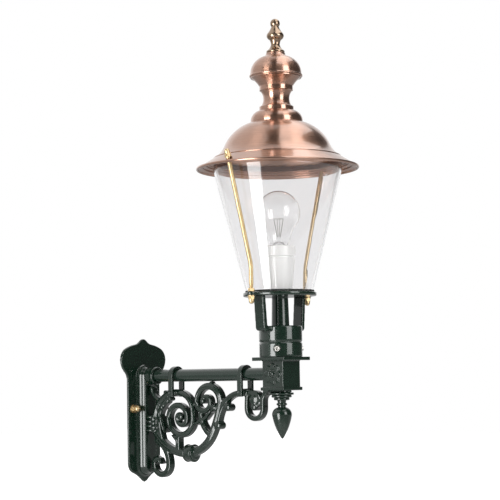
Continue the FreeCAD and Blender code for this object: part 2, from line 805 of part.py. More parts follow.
def hood():
    """The spun bell with its brim, swaged rings and rolled edge."""
    shoulder = hood_height - shoulder_drop
    brim_end = (brim_radius + brim_width, brim_rise - brim_drop)
    bell = spun(-copper, glass_top,
                (finial_stud_radius + screw_slip, hood_height), (shoulder_radius - 13.2, hood_height),
                ((shoulder_radius - 3.9, hood_height - 4.4), (shoulder_radius, shoulder)),
                ((brim_radius - 29.0, brim_rise + 36.9), (brim_radius - 14.4, brim_rise + 17.2)),
                ((brim_radius - 8.9, brim_rise + 7.9), (brim_radius, brim_rise)), brim_end)
    rim_height = glass_top + brim_end[1] - hood_bead / 2
    rim = Part.makeTorus(brim_end[0] + hood_bead / 2, hood_bead, lantern_axis + up * rim_height)
    rings = [brim_ring(brim_radius, 0)]
    for out in (9.0, 17.0):
        rings.append(brim_ring(brim_radius + out, brim_skin))
    brim, way = rod_at_brim()
    hole = Part.makeCylinder(rod_thread_radius + screw_slip, 8 * copper, brim - way * (4 * copper), way)
    return bell.fuse([rim] + rings).cut(both_sides(hole))


def vent_neck():
    """The waisted copper neck that flares out to a lip under the cap."""
    foot = neck_radius
    band = foot - 0.6
    waist_end = foot - 2.4
    return spun(copper, hood_crown,
                (foot, 0), (foot, 5.2), (waist_end, 6.4), ((foot - 5.7, 16.2), (waist_end, 27.0)),
                (band, 28.2), (band, 34.2), ((foot + 3.8, neck_height - 5.6), (foot + 9.6, neck_height)),
                (cap_radius - cap_bead, neck_height))


def vent_cap():
    """The domed cap with a step under the finial and a beaded edge."""
    bead_radius = cap_radius - cap_bead
    dome = spun(-copper, cap_seat,
                (finial_stud_radius + screw_slip, cap_height), (11.4, cap_height),
                ((13.2, cap_height - 0.8), (13.8, cap_height - 2.6)),
                ((15.6, cap_height - 4.9), (19.0, cap_height - 6.2)),
                ((cap_radius - 7.6, cap_height - 13.4), (bead_radius + 0.3, 6.0)),
                (bead_radius + 0.7, cap_bead))
    edge = Part.makeTorus(bead_radius, cap_bead, lantern_axis + up * (cap_seat + cap_bead))
    return dome.fuse(edge)


def finial():
    bore = finial_stud_radius + slip
    return lantern_lathe(
        cap_top,
        (0, finial_grip + 1.0), (bore, finial_grip + 1.0), (bore, 0), (12.4, 0), ((12.9, 1.4), (12.2, 2.8)),
        ((8.2, 6.6), (6.2, 11.4)), ((6.7, 14.8), (8.4, 18.6)), ((11.4, 21.4), (12.1, 23.9)),
        ((11.5, 26.2), (10.2, 28.2)), ((7.2, 32.6), (5.2, 37.0)), crown(5.2, 37.0, 48.2))


def finial_stud():
    """The rod that draws the finial, cap and neck down on the hood, with its nut inside the hood."""
    nut_height = 5.0
    ceiling = hood_crown - copper
    foot = ceiling - 2 * nut_height
    stud = Part.makeCylinder(finial_stud_radius, cap_top + finial_grip - foot, lantern_axis + up * foot)
    nut = hex_nut(wall_nut_flats, nut_height, finial_stud_radius + slip)
    return stud, placed(nut, lantern_axis + up * ceiling, down)


# Lampholder and clear bulb
def holder_body():
    bore = wire_way_radius + slip
    edge = holder_radius - 1.0
    return lantern_lathe(
        seat_top,
        (bore, 0), (holder_radius - 5.0, 0), (edge, holder_height - 1.0), (edge - 0.8, holder_height),
        (holder_bore, holder_height), (holder_bore, holder_floor_height), (bore, holder_floor_height))


def holder_ring():
    radius, height = holder_radius, holder_ring_height
    return lantern_lathe(
        holder_joint,
        (holder_bore, 0), (radius - 2.0, 0), (radius - 2.0, 1.2), (radius, 1.6), (radius, height - 1.3),
        ((radius - 0.4, height - 0.4), (radius - 1.4, height)), (holder_bore, height))


def holder_shell():
    outer = holder_bore - slip
    inner = outer - shell_wall
    top = holder_top - 3.0 - holder_floor
    return lantern_lathe(holder_floor, (inner, 0), (outer, 0), (outer, top), (inner, top))


def nipple():
    bore = wire_way_radius - nipple_wall
    foot = seat_bottom - 14.0
    top = holder_floor - 2.0 - foot
    return lantern_lathe(foot, (bore, 0), (wire_way_radius, 0), (wire_way_radius, top), (bore, top))


def holder_contact():
    """The centre contact that the bulb's foot presses on."""
    top = bulb_foot_height - 4.6 - holder_floor
    return lantern_lathe(holder_floor, (0, 0), (9.0, 0), (9.0, 1.2), (3.0, 2.0), (3.0, top), (0, top))


def bulb_envelope():
    """The blown glass: a ball that narrows to a neck seated in the cap."""
    radius = bulb_radius
    neck = bulb_cap_radius + 2.7
    seat = bulb_cap_radius - bulb_cap_wall - slip
    return spun(-bulb_glass, bulb_centre,
                (0, radius), ((radius * half, radius * half), (radius, 0)),
                ((radius - 1.6, -10.2), (radius - 6.2, -18.8)), ((neck + 2.6, -28.4), (neck, -39.0)),
                (seat, slip - bulb_rise), (seat, -bulb_rise - 3.0))


def bulb_cap():
    """The thin threaded sleeve, drawn in at its foot."""
    radius = bulb_cap_radius
    inner = radius - bulb_cap_wall
    return lantern_lathe(bulb_foot_height, (inner, bulb_cap_height), (radius, bulb_cap_height), (radius, 3.0),
                         (9.6, 0), (9.0, 0), (inner, 3.4))


def bulb_foot():
    """The glass insulator in the foot of the cap."""
    return lantern_lathe(bulb_foot_height, (0, 0), (9.0, 0), (4.2, -3.0), (0, -3.0))


def bulb_contact():
    return lantern_lathe(bulb_foot_height - 3.0, (0, 0), (4.0, 0), crown(4.0, 0, -1.6))


def bulb_wires():
    """Two leads and two thin supports that stand in the stem."""
    wires = []
    for foot, head, radius in ((-2.0, -6.4, 0.4), (2.0, 6.4, 0.4), (-0.8, -2.0, 0.3), (0.8, 2.0, 0.3)):
        start = Vector(lantern_reach, 0, bulb_centre - 34.2) + filament_way * foot
        stop = Vector(lantern_reach, 0, bulb_centre - 9.6) + filament_way * head
        wires.append(Part.makeCylinder(radius, (stop - start).Length, start, stop - start))
    return wires


def bulb_stem():
    """The flared glass stem, pinched round the wires and sealed to the envelope's foot."""
    foot = bulb_cap_radius - bulb_cap_wall - bulb_glass - 2 * slip
    inner = foot - 1.0
    stem = lantern_lathe(
        bulb_centre - bulb_rise - 2.0,
        (0, 17.4), (2.6, 16.0), (3.0, 11.4), (4.4, 7.4), (foot, 2.4), (foot, 0), (inner, 0), (inner, 1.6),
        (0, 7.4))
    return stem.cut(bulb_wires())


def bulb_filament():
    """The coil across the tops of the wires."""
    start = Vector(lantern_reach, 0, bulb_centre - 9.0) - filament_way * 6.8
    return Part.makeCylinder(0.6, 13.6, start, filament_way)


os.makedirs("parts", exist_ok=True)
wall_washers, wall_nuts = wall_hardware()
rod_nuts, rod_washers, rod_cap_nuts = rod_hardware()
stud, stud_nut = finial_stud()
save("wall_plate", wall_plate())
save("wall_washers", *wall_washers)
save("wall_cap_nuts", *wall_nuts)
save("arm_tube", arm_tube())
save("scroll_bracket", scroll_bracket())
save("saddle_straps", saddle_strap(rear_strap_x), saddle_strap(front_strap_x))
save("strap_pins", strap_pin(rear_strap_x), strap_pin(front_strap_x))
save("lantern_block", lantern_block())
save("drop_pendant", drop_pendant())
save("socket_yoke", socket_yoke())
save("set_screws", *set_screws())
save("column", column())
save("seat_flange", seat_flange())
save("seat_screws", *seat_screws())
save("tie_rods", *both_sides(tie_rod()))
save("rod_nuts", *rod_nuts)
save("rod_washers", *rod_washers)
save("rod_cap_nuts", *rod_cap_nuts)
save("lower_gasket", lower_gasket())
save("glass_shade", glass_shade())
save("upper_gasket", upper_gasket())
save("hood", hood())
save("vent_neck", vent_neck())
save("vent_cap", vent_cap())
save("finial", finial())
save("finial_stud", stud)
save("stud_nut", stud_nut)
save("nipple", nipple())
save("holder_body", holder_body())
save("holder_ring", holder_ring())
save("holder_shell", holder_shell())
save("holder_contact", holder_contact())
save("bulb_envelope", bulb_envelope())
save("bulb_cap", bulb_cap())
save("bulb_foot", bulb_foot())
save("bulb_contact", bulb_contact())
save("bulb_stem", bulb_stem())
save("bulb_wires", *bulb_wires())
save("bulb_filament", bulb_filament())
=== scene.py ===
import json
import math

import bmesh
import bpy
from mathutils import Matrix, Vector


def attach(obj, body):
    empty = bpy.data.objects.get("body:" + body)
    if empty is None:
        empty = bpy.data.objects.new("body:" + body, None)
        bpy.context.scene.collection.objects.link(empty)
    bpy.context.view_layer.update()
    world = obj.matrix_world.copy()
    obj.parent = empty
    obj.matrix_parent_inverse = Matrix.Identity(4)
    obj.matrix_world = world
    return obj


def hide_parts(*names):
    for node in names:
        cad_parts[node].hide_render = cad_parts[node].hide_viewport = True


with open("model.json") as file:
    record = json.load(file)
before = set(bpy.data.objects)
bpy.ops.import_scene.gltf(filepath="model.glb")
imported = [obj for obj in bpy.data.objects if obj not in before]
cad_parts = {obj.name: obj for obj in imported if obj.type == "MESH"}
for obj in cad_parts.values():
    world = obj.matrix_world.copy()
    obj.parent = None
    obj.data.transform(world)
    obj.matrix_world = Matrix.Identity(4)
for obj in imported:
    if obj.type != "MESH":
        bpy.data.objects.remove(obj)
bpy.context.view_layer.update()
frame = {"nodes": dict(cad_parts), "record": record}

scene = bpy.context.scene
nodes = frame["nodes"]
white = (1, 1, 1, 1)

# Places in the part's frame, in metres
lantern_x = 0.267
seat_top = 0.1595
rod_foot = 0.0605
bulb_centre = 0.2707

# Castings whose edges are rounded: the step of the new skin in metres, and how often it is smoothed
castings = {
    "wall_plate": (0.0010, 6),
    "scroll_bracket": (0.0009, 5),
    "saddle_straps": (0.0007, 4),
    "lantern_block": (0.0006, 1),
    "socket_yoke": (0.0009, 3),
    "seat_flange": (0.0009, 2),
}

# Camera
camera_azimuth = math.radians(40.5)
camera_pitch = math.radians(4.487)
camera_roll = math.radians(0.95)
camera_place = Vector((1.66391, -1.69749, 0.0465))
picture_size = 500
focal_pixels = 1593.0

# Floor: its level and half size, its colour, and the glow that fades it to white between two distances
floor_level = -1.4
floor_half_size = 30.0
floor_colour = (0.8, 0.8, 0.8, 1)
floor_glow = (0.35, 1.0)
floor_fade = (2.5, 7.0)

# Lamps and panels: distances from the lantern, heights and sizes in metres
lamp_distance = 2.2
lamp_height = 0.4
lamp_aim = 0.22
lamp_size = (1.0, 2.4)
lamp_power = 30.0
card_distance = 2.2
overhead_height = 2.2
overhead_depth = (-1.6, 1.6)
ambient = 0.45

# The walls that reflections see, as degrees to the right of the camera and a brightness
room_walls = ((-180, 1.0), (-134, 1.0), (-126, 0.7), (-68, 0.7), (-64, 0.07), (120, 0.07),
              (146, 0.10), (154, 1.0))


def make_camera():
    """The photograph's camera: its place, its tilt up and its slight roll."""
    across = Vector((math.cos(camera_azimuth), math.sin(camera_azimuth), 0))
    ahead = Vector((-math.sin(camera_azimuth), math.cos(camera_azimuth), 0))
    forward = ahead * math.cos(camera_pitch) + Vector((0, 0, math.sin(camera_pitch)))
    level_up = Vector((0, 0, math.cos(camera_pitch))) - ahead * math.sin(camera_pitch)
    right = across * math.cos(camera_roll) - level_up * math.sin(camera_roll)
    up = level_up * math.cos(camera_roll) + across * math.sin(camera_roll)
    data = bpy.data.cameras.new("camera")
    data.sensor_width = 36.0
    data.lens = focal_pixels / picture_size * data.sensor_width
    data.clip_end = 50.0
    camera = bpy.data.objects.new("camera", data)
    scene.collection.objects.link(camera)
    turn = Matrix((right, up, -forward)).transposed().to_4x4()
    camera.matrix_world = Matrix.Translation(camera_place) @ turn
    scene.camera = camera


# Node helpers
def start_material(name):
    """A new material, its node tree and its principled shader."""
    made = bpy.data.materials.new(name)
    made.use_nodes = True
    tree = made.node_tree
    return made, tree, tree.nodes["Principled BSDF"]


def emptied_tree(owner):
    """The node tree of a material or a world, with no nodes in it."""
    owner.use_nodes = True
    owner.node_tree.nodes.clear()
    return owner.node_tree


def plug(tree, node, inputs):
    """Set a node's inputs to values, or link them to sockets."""
    for key, value in inputs.items():
        if isinstance(value, bpy.types.NodeSocket):
            tree.links.new(value, node.inputs[key])
        else:
            node.inputs[key].default_value = value


def add(tree, kind, inputs=None, **settings):
    """A new node with its settings and its inputs."""
    node = tree.nodes.new("ShaderNode" + kind)
    for key, value in settings.items():
        setattr(node, key, value)
    plug(tree, node, inputs or {})
    return node


def finish(tree, shader, **inputs):
    """The inputs of a principled shader, with underscores for the spaces in their names."""
    plug(tree, shader, {key.replace("_", " "): value for key, value in inputs.items()})


def place_socket(tree):
    """The part's own coordinates in metres."""
    return add(tree, "TexCoord").outputs["Object"]


def noise(tree, vector, scale, detail=3.0, roughness=0.5):
    """A noise value from 0 to 1."""
    inputs = {"Vector": vector, "Scale": scale, "Detail": detail, "Roughness": roughness}
    return add(tree, "TexNoise", inputs).outputs["Fac"]


def ranged(tree, value, low, high, from_low=0.3, from_high=0.7):
    """A value stretched to a range."""
    inputs = {"Value": value, "From Min": from_low, "From Max": from_high, "To Min": low, "To Max": high}
    return add(tree, "MapRange", inputs).outputs["Result"]


def blended(tree, factor, first, second):
    """A colour between two colours."""
    return add(tree, "Mix", {0: factor, 6: first, 7: second}, data_type="RGBA").outputs[2]


def bumped(tree, height, distance, strength=1.0, normal=None):
    """A normal disturbed by a height."""
    inputs = {"Height": height, "Distance": distance, "Strength": strength}
    if normal is not None:
        inputs["Normal"] = normal
    return add(tree, "Bump", inputs).outputs["Normal"]


def computed(tree, operation, first, second=0.0):
    """One arithmetic step."""
    return add(tree, "Math", {0: first, 1: second}, operation=operation).outputs[0]


def lathe_vector(tree, across_scale, round_scale):
    """Coordinates that are fine along a turned piece's profile and coarse round its axis."""
    shifted = add(tree, "VectorMath", {0: place_socket(tree), 1: (-lantern_x, 0, 0)}, operation="ADD")
    x, y, z = add(tree, "SeparateXYZ", {"Vector": shifted.outputs[0]}).outputs
    angle = computed(tree, "ARCTAN2", y, x)
    x_square, y_square = (computed(tree, "MULTIPLY", part, part) for part in (x, y))
    radius = computed(tree, "SQRT", computed(tree, "ADD", x_square, y_square))
    joined = add(tree, "CombineXYZ", {
        "X": computed(tree, "MULTIPLY", radius, across_scale),
        "Y": computed(tree, "MULTIPLY", z, across_scale),
        "Z": computed(tree, "MULTIPLY", angle, round_scale)})
    return joined.outputs[0]


# Materials
def green_paint():
    """Glossy dark green enamel over a sand casting: slow waves, fine orange peel, and a painted highlight
    that makes the thin convex edges paler.
    """
    made, tree, shader = start_material("green_paint")
    place = place_socket(tree)
    cloud = ranged(tree, noise(tree, place, 42.0), 0.0, 1.0)
    body = blended(tree, cloud, (0.0035, 0.0160, 0.0085, 1), (0.0060, 0.0205, 0.0120, 1))
    # Painted highlight: convex edges, found by pointiness, are painted a paler green in place of the light
    # that catches the rounded edges.
    painted_edge_highlight = ranged(tree, add(tree, "NewGeometry").outputs["Pointiness"], 0.0, 0.4, 0.52, 0.60)
    waves = bumped(tree, noise(tree, place, 55.0, 2.0), 0.0002, 0.25)
    peel = bumped(tree, noise(tree, place, 420.0, 2.0), 0.00003, 0.04, waves)
    finish(tree, shader, Base_Color=blended(tree, painted_edge_highlight, body, (0.020, 0.040, 0.030, 1)),
           Roughness=ranged(tree, noise(tree, place, 210.0), 0.22, 0.32), Normal=peel, Coat_Normal=waves,
           Coat_Weight=1.0, Coat_Roughness=0.03, Coat_IOR=1.5, IOR=1.5, Specular_IOR_Level=0.3)
    return made


def spun_copper():
    """Brushed copper: fine rings from the spinning lathe, slow brown clouds and a stretched highlight."""
    made, tree, shader = start_material("spun_copper")
    rings = noise(tree, lathe_vector(tree, 2400.0, 1.4), 1.0, 4.0, 0.62)
    bands = noise(tree, lathe_vector(tree, 160.0, 0.5), 1.0, 2.0)
    cloud = noise(tree, place_socket(tree), 26.0, 4.0)
    fresh = blended(tree, ranged(tree, rings, 0.0, 1.0), (0.48, 0.260, 0.176, 1), (0.61, 0.359, 0.257, 1))
    aged = blended(tree, ranged(tree, cloud, 0.0, 0.35), fresh, (0.39, 0.198, 0.132, 1))
    rough = computed(tree, "ADD", ranged(tree, rings, 0.26, 0.36), ranged(tree, bands, -0.03, 0.03))
    tangent = add(tree, "Tangent", direction_type="RADIAL", axis="Z").outputs[0]
    finish(tree, shader, Base_Color=aged, Roughness=rough, Normal=bumped(tree, rings, 0.00003, 0.5),
           Tangent=tangent, Metallic=1.0, Anisotropic=0.92, Anisotropic_Rotation=0.25,
           Coat_Weight=0.8, Coat_Roughness=0.12, Coat_IOR=1.8)
    return made


def turned_brass(name, dark, light, smooth, rough):
    """Lacquered brass with faint turning marks and a little warm variation."""
    made, tree, shader = start_material(name)
    marks = noise(tree, lathe_vector(tree, 1800.0, 2.0), 1.0, 3.0)
    cloud = ranged(tree, noise(tree, place_socket(tree), 60.0, 3.0), 0.0, 1.0)
    finish(tree, shader, Base_Color=blended(tree, cloud, dark, light),
           Roughness=ranged(tree, marks, smooth, rough), Normal=bumped(tree, marks, 0.00002, 0.3),
           Metallic=1.0, Coat_Weight=0.3, Coat_Roughness=0.05)
    return made


def nickel_plate():
    """Bright nickel with fine scratches."""
    made, tree, shader = start_material("nickel_plate")
    place = place_socket(tree)
    marks = noise(tree, place, 1500.0, 4.0)
    colour = blended(tree, noise(tree, place, 300.0), (0.62, 0.60, 0.56, 1), (0.80, 0.78, 0.74, 1))
    finish(tree, shader, Base_Color=colour, Roughness=ranged(tree, marks, 0.28, 0.42),
           Normal=bumped(tree, marks, 0.00002, 0.3), Metallic=1.0)
    return made


def dull_wire():
    """Grey oxidised wire."""
    made, tree, shader = start_material("dull_wire")
    grain = noise(tree, place_socket(tree), 2500.0, 3.0)
    finish(tree, shader, Base_Color=blended(tree, grain, (0.17, 0.145, 0.12, 1), (0.27, 0.235, 0.195, 1)),
           Roughness=ranged(tree, grain, 0.45, 0.65), Metallic=0.6)
    return made


def see_through(name, tint, waviness, ior):
    """Clear glass with slow waves; lamp light passes it, so what is inside is lit."""
    made, tree, shader = start_material(name)
    wave = noise(tree, place_socket(tree), 24.0, 2.0)
    paler = tuple(min(1.0, part * 1.01) for part in tint)
    finish(tree, shader, Base_Color=blended(tree, wave, tint, paler),
           Normal=bumped(tree, wave, waviness, 0.5), Transmission_Weight=1.0, Roughness=0.0, IOR=ior)
    path = add(tree, "LightPath")
    lit = computed(tree, "MAXIMUM", path.outputs["Is Shadow Ray"], path.outputs["Is Diffuse Ray"])
    clear = add(tree, "BsdfTransparent", {"Color": white})
    mixed = add(tree, "MixShader", {0: lit, 1: shader.outputs[0], 2: clear.outputs[0]})
    tree.links.new(mixed.outputs[0], tree.nodes["Material Output"].inputs["Surface"])
    return made


def white_porcelain():
    """White glaze over fired clay, a little uneven."""
    made, tree, shader = start_material("white_porcelain")
    place = place_socket(tree)
    cloud = noise(tree, place, 90.0, 3.0)
    finish(tree, shader, Base_Color=blended(tree, cloud, (0.86, 0.86, 0.84, 1), (0.92, 0.92, 0.91, 1)),
           Roughness=ranged(tree, cloud, 0.12, 0.24),
           Normal=bumped(tree, noise(tree, place, 400.0, 2.0), 0.00004, 0.3),
           Coat_Weight=0.6, Coat_Roughness=0.04)
    return made


def rubber(name, dark, light):
    """Rubber with a matt, faintly mottled skin."""
    made, tree, shader = start_material(name)
    mottle = noise(tree, place_socket(tree), 500.0, 3.0)
    finish(tree, shader, Base_Color=blended(tree, mottle, dark, light),
           Roughness=ranged(tree, mottle, 0.55, 0.75), Normal=bumped(tree, mottle, 0.00005, 0.4),
           Specular_IOR_Level=0.2)
    return made


def black_glass():
    """The bulb's black glass insulator."""
    made, tree, shader = start_material("black_glass")
    grain = noise(tree, place_socket(tree), 600.0, 3.0)
    finish(tree, shader, Base_Color=blended(tree, grain, (0.012, 0.012, 0.014, 1), (0.03, 0.03, 0.033, 1)),
           Roughness=ranged(tree, grain, 0.08, 0.2))
    return made


def dress_nodes():
    """Each CAD node gets the finish of its slot in the record, or one of its own."""
    finishes = {
        "paint": green_paint(),
        "copper": spun_copper(),
        "brass": turned_brass("bright_brass", (0.66, 0.48, 0.24, 1), (0.78, 0.60, 0.34, 1), 0.34, 0.46),
        "nickel": nickel_plate(),
        "glass": see_through("shade_glass", (0.908, 0.904, 0.908, 1), 0.0002, 1.47),
        "bulb_glass": see_through("bulb_glass", (0.985, 0.985, 0.985, 1), 0.0001, 1.45),
        "porcelain": white_porcelain(),
        "gasket": rubber("brown_rubber", (0.090, 0.048, 0.036, 1), (0.130, 0.072, 0.055, 1)),
        "insulator": black_glass(),
    }
    own = {
        "finial": turned_brass("aged_brass", (0.30, 0.203, 0.130, 1), (0.41, 0.294, 0.204, 1), 0.16, 0.28),
        "bulb_wires": dull_wire(),
        "bulb_stem": see_through("stem_glass", (0.97, 0.97, 0.97, 1), 0.0001, 1.12),
        "lower_gasket": rubber("black_rubber", (0.016, 0.017, 0.016, 1), (0.030, 0.031, 0.029, 1)),
    }
    for part in frame["record"]["subparts"]:
        shape = nodes[part["node"]].data
        shape.materials.clear()
        shape.materials.append(own.get(part["node"], finishes[part["material_slot"]]))
    finishes["wire"] = own["bulb_wires"]
    return finishes


def soften_castings():
    """Give the castings the rounded edges that sand and paint leave, over their own solids."""
    for name, (step, rounds) in castings.items():
        casting = nodes[name]
        weld = casting.modifiers.new("weld", "WELD")
        weld.merge_threshold = 1e-6
        skin = casting.modifiers.new("skin", "REMESH")
        skin.mode = "VOXEL"
        skin.voxel_size = step
        skin.use_smooth_shade = True
        smooth = casting.modifiers.new("smooth", "SMOOTH")
        smooth.factor = 0.5
        smooth.iterations = rounds


# Pieces added to the solids
def keep(name, build, finish_of_slot):
    """A new piece from a bmesh, shaded smooth, that rides on the part and takes a slot's finish."""
    mesh = bpy.data.meshes.new(name)
    build.to_mesh(mesh)
    build.free()
    mesh.materials.append(finish_of_slot)
    for face in mesh.polygons:
        face.use_smooth = True
    made = bpy.data.objects.new(name, mesh)
    scene.collection.objects.link(made)
    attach(made, "root")
    return made


def bridge(build, rings, closed=False, open_rings=False):
    """Faces from each ring of vertices to the next, with capped ends unless the rings close on themselves."""
    for first, second in zip(rings, rings[1:] + rings[:1] if closed else rings[1:]):
        pairs = list(zip(first, second))
        after = pairs[1:] if open_rings else pairs[1:] + pairs[:1]
        for (a, b), (c, d) in zip(pairs, after):
            build.faces.new((a, c, d, b))
    if not closed:
        build.faces.new(rings[0][::-1])
        build.faces.new(rings[-1])


def circle(count):
    """The cosine and sine of each of a number of even turns."""
    turns = (2 * math.pi * n / count for n in range(count))
    return [(math.cos(turn), math.sin(turn)) for turn in turns]


def sweep(build, points, radius, sides, closed=False):
    """A round tube along points, with capped ends where it is open."""
    rings = []
    count = len(points)
    normal = None
    for i, point in enumerate(points):
        before = points[i - 1] if i or closed else point
        after = points[(i + 1) % count] if i + 1 < count or closed else point
        along = (after - before).normalized()
        if normal is None:
            normal = along.orthogonal().normalized()
        normal = (normal - along * normal.dot(along)).normalized()
        across = along.cross(normal)
        rings.append([build.verts.new(point + (normal * c + across * s) * radius) for c, s in circle(sides)])
    bridge(build, rings, closed)


def helix(start, end, radius, turns, steps_a_turn):
    """Points on a helix round the line from start to end."""
    along = (end - start).normalized()
    side = along.orthogonal().normalized()
    other = along.cross(side)
    steps = turns * steps_a_turn
    points = []
    for i in range(steps + 1):
        share = i / steps
        turn = 2 * math.pi * turns * share
        points.append(start.lerp(end, share) + (side * math.cos(turn) + other * math.sin(turn)) * radius)
    return points


def ring_points(centre, radius, first, second, count):
    """Points round a circle that two directions span."""
    return [centre + (first * c + second * s) * radius for c, s in circle(count)]


def filament(finishes):
    """The wound coil between the bulb's wires, with its straight tails."""
    way = Vector((0.76, 0.65, 0)).normalized()
    half_length, tail, drop = 0.0064, 0.0004, 0.009
    coil_radius, wire_radius = 0.00045, 0.00013
    middle = Vector((lantern_x, 0, bulb_centre - drop))
    start, end = middle - way * half_length, middle + way * half_length
    coil = helix(start, end, coil_radius, turns=26, steps_a_turn=12)
    build = bmesh.new()
    sweep(build, [start - way * tail] + coil + [end + way * tail], wire_radius, sides=5)
    made = keep("filament_coil", build, finishes["wire"])
    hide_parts("bulb_filament")


def rod_threads(finishes):
    """The threads that show on the tie rods above the ear nuts."""
    nut_height, length = 0.0041, 0.0048
    rod_radius, ridge_radius = 0.00252, 0.00026
    build = bmesh.new()
    for side in (-1, 1):
        start = Vector((lantern_x, side * rod_foot, seat_top + nut_height))
        thread = helix(start, start + Vector((0, 0, length)), rod_radius, turns=6, steps_a_turn=28)
        sweep(build, thread, ridge_radius, sides=6)
    keep("rod_threads", build, finishes["brass"])


def flank_profile():
    """The flank's section in millimetres: the distance from the wall, and how far it stands off the box."""
    step_top, foot, rise = 6.4, 7.4, 8.4
    lean, swell, steps = 3.5, 0.27, 30
    over_the_rim = [(16.5, -0.6), (16.9, -1.8), (9.0, -2.2)]
    profile = [(step_top, lean)]
    for i in range(steps + 1):
        share = i / steps
        profile.append((foot + rise * share, lean * (1 - share) + swell * math.sin(2 * math.pi * share)))
    return profile + over_the_rim


def box_flanks(finishes):
    """The moulded, sloping flanks of the plate's box, from its step to its face, round both rounded ends."""
    half_width, low, high = 0.011, -0.0825, 0.0475
    side_steps, end_steps = 26, 24
    stations = []
    for way, start, end in ((1, low, high), (-1, high, low)):
        for i in range(side_steps):
            stations.append((start + (end - start) * i / side_steps, way, 0.0))
        for i in range(end_steps):
            turn = math.pi * i / end_steps
            stations.append((end, way * math.cos(turn), way * math.sin(turn)))
    profile = [(x / 1000, half_width + out / 1000) for x, out in flank_profile()]
    build = bmesh.new()
    rings = [[build.verts.new((x, out_y * reach, z + out_z * reach)) for x, reach in profile]
             for z, out_y, out_z in stations]
    bridge(build, rings, closed=True)
    bmesh.ops.recalc_face_normals(build, faces=build.faces)
    keep("box_flanks", build, finishes["paint"])


def knot_ridges(finishes):
    """The ridged binding that the scroll springs from, as wide as the box that it bears on."""
    axis = Vector((0.0205, 0, -0.0352))
    ridge_count, ridge_height = 4, 0.0064
    valley, crest, fullness = 0.0080, 0.0118, 0.7
    steps, sides, half_spread = 10, 32, 106
    turns = [math.radians(half_spread * (2 * n / sides - 1)) for n in range(sides + 1)]
    build = bmesh.new()
    rings = []
    for i in range(ridge_count * steps + 1):
        swell = abs(math.sin(math.pi * i / steps)) ** fullness
        radius = valley + (crest - valley) * swell
        level = axis + Vector((0, 0, ridge_height * i / steps))
        rings.append([build.verts.new(level + Vector((math.cos(turn), math.sin(turn), 0)) * radius)
                      for turn in turns])
    bridge(build, rings, open_rings=True)
    keep("knot_ridges", build, finishes["paint"])


def drawn(x, z):
    """A point of the scroll's drawing in millimetres, which starts at the box's face under the arm."""
    return Vector((0.017 + x / 1000, 0, 0.0385 + z / 1000))


def leaf(build, line, half_widths, half_depth):
    """A carved leaf along a line of the scroll's drawing: thick in the middle and thin at its rim."""
    sides = 20
    points = [drawn(x, z) for x, z in line]
    deep = Vector((0, half_depth / 1000, 0))
    rings = []
    for i, point in enumerate(points):
        before, after = points[max(i - 1, 0)], points[min(i + 1, len(points) - 1)]
        along = (after - before).normalized()
        across = Vector((-along.z, 0, along.x)) * (half_widths[i] / 1000)
        rings.append([build.verts.new(point + across * c + deep * s) for c, s in circle(sides)])
    bridge(build, rings)


def scroll_leaves(finishes):
    """The leaf in the low curl, the leaves that part the volutes and the curled tips beside the binding."""
    curl = ((6.0, -117.0), (10.0, -113.5), (15.0, -112.5), (20.0, -114.5), (24.0, -118.5))
    blade = ((89.6, -60.9), (95.5, -59.4), (103.3, -54.4), (111.1, -52.2), (118.9, -45.1), (124.7, -40.8))
    low_tip = ((101.4, -55.1), (107.1, -60.8), (110.5, -64.0), (112.7, -66.8))
    high_tip = ((120.9, -43.6), (125.5, -39.8), (129.4, -36.0), (132.6, -30.9))
    arc_leaf = ((17.4, -37.0), (20.3, -46.0), (24.2, -57.0), (28.1, -65.7), (32.5, -73.5))
    strut_leaf = ((47.0, -77.5), (52.8, -81.0), (57.0, -86.0), (57.5, -92.5))
    leaf_depth, tip_depth = 7.0, 7.8
    build = bmesh.new()
    leaf(build, curl, (2.0, 4.8, 6.0, 4.4, 1.6), leaf_depth)
    leaf(build, blade, (1.4, 3.2, 4.0, 3.6, 3.0, 1.2), leaf_depth)
    leaf(build, low_tip, (3.0, 3.4, 2.6, 1.0), leaf_depth)
    leaf(build, high_tip, (2.6, 3.2, 2.6, 1.0), leaf_depth)
    leaf(build, arc_leaf, (2.0, 4.2, 4.8, 3.8, 1.0), leaf_depth)
    leaf(build, strut_leaf, (2.0, 4.4, 4.8, 3.0), leaf_depth)
    for z in (-55.0, -65.0):
        knot_tip = ((12.0, z + 2.0), (15.0, z + 1.5), (18.0, z), (20.5, z - 2.0))
        leaf(build, knot_tip, (2.4, 3.0, 2.8, 1.2), tip_depth)
    keep("scroll_leaves", build, finishes["paint"])


def band_rims(finishes):
    """The two rims of the band that binds the lower arc."""
    ring_radius, rim_radius = 0.0112, 0.0018
    build = bmesh.new()
    for x in (74.2, 85.8):
        rim = ring_points(drawn(x, -102.6), ring_radius, Vector((0, 1, 0)), Vector((0, 0, 1)), 64)
        sweep(build, rim, rim_radius, sides=12, closed=True)
    keep("band_rims", build, finishes["paint"])


def brim_beads(finishes):
    """The fine rings that the spinning tool left under the brim."""
    bead_radius = 0.0007
    build = bmesh.new()
    for radius, height in ((0.0935, 0.3412), (0.0995, 0.3375), (0.1045, 0.3343)):
        bead = ring_points(Vector((lantern_x, 0, height)), radius, Vector((1, 0, 0)), Vector((0, 1, 0)), 120)
        sweep(build, bead, bead_radius, sides=8, closed=True)
    keep("brim_beads", build, finishes["copper"])


# Studio
def stage_panel(name, corners, faces, material):
    """A panel of the stage."""
    mesh = bpy.data.meshes.new(name)
    mesh.from_pydata(corners, [], faces)
    mesh.materials.append(material)
    panel = bpy.data.objects.new(name, mesh)
    scene.collection.objects.link(panel)
    return panel


def seen_white(tree):
    """One for rays that see the backdrop, from the camera or through glass, and the node with all kinds."""
    path = add(tree, "LightPath")
    return computed(tree, "MAXIMUM", path.outputs["Is Camera Ray"], path.outputs["Is Transmission Ray"]), path


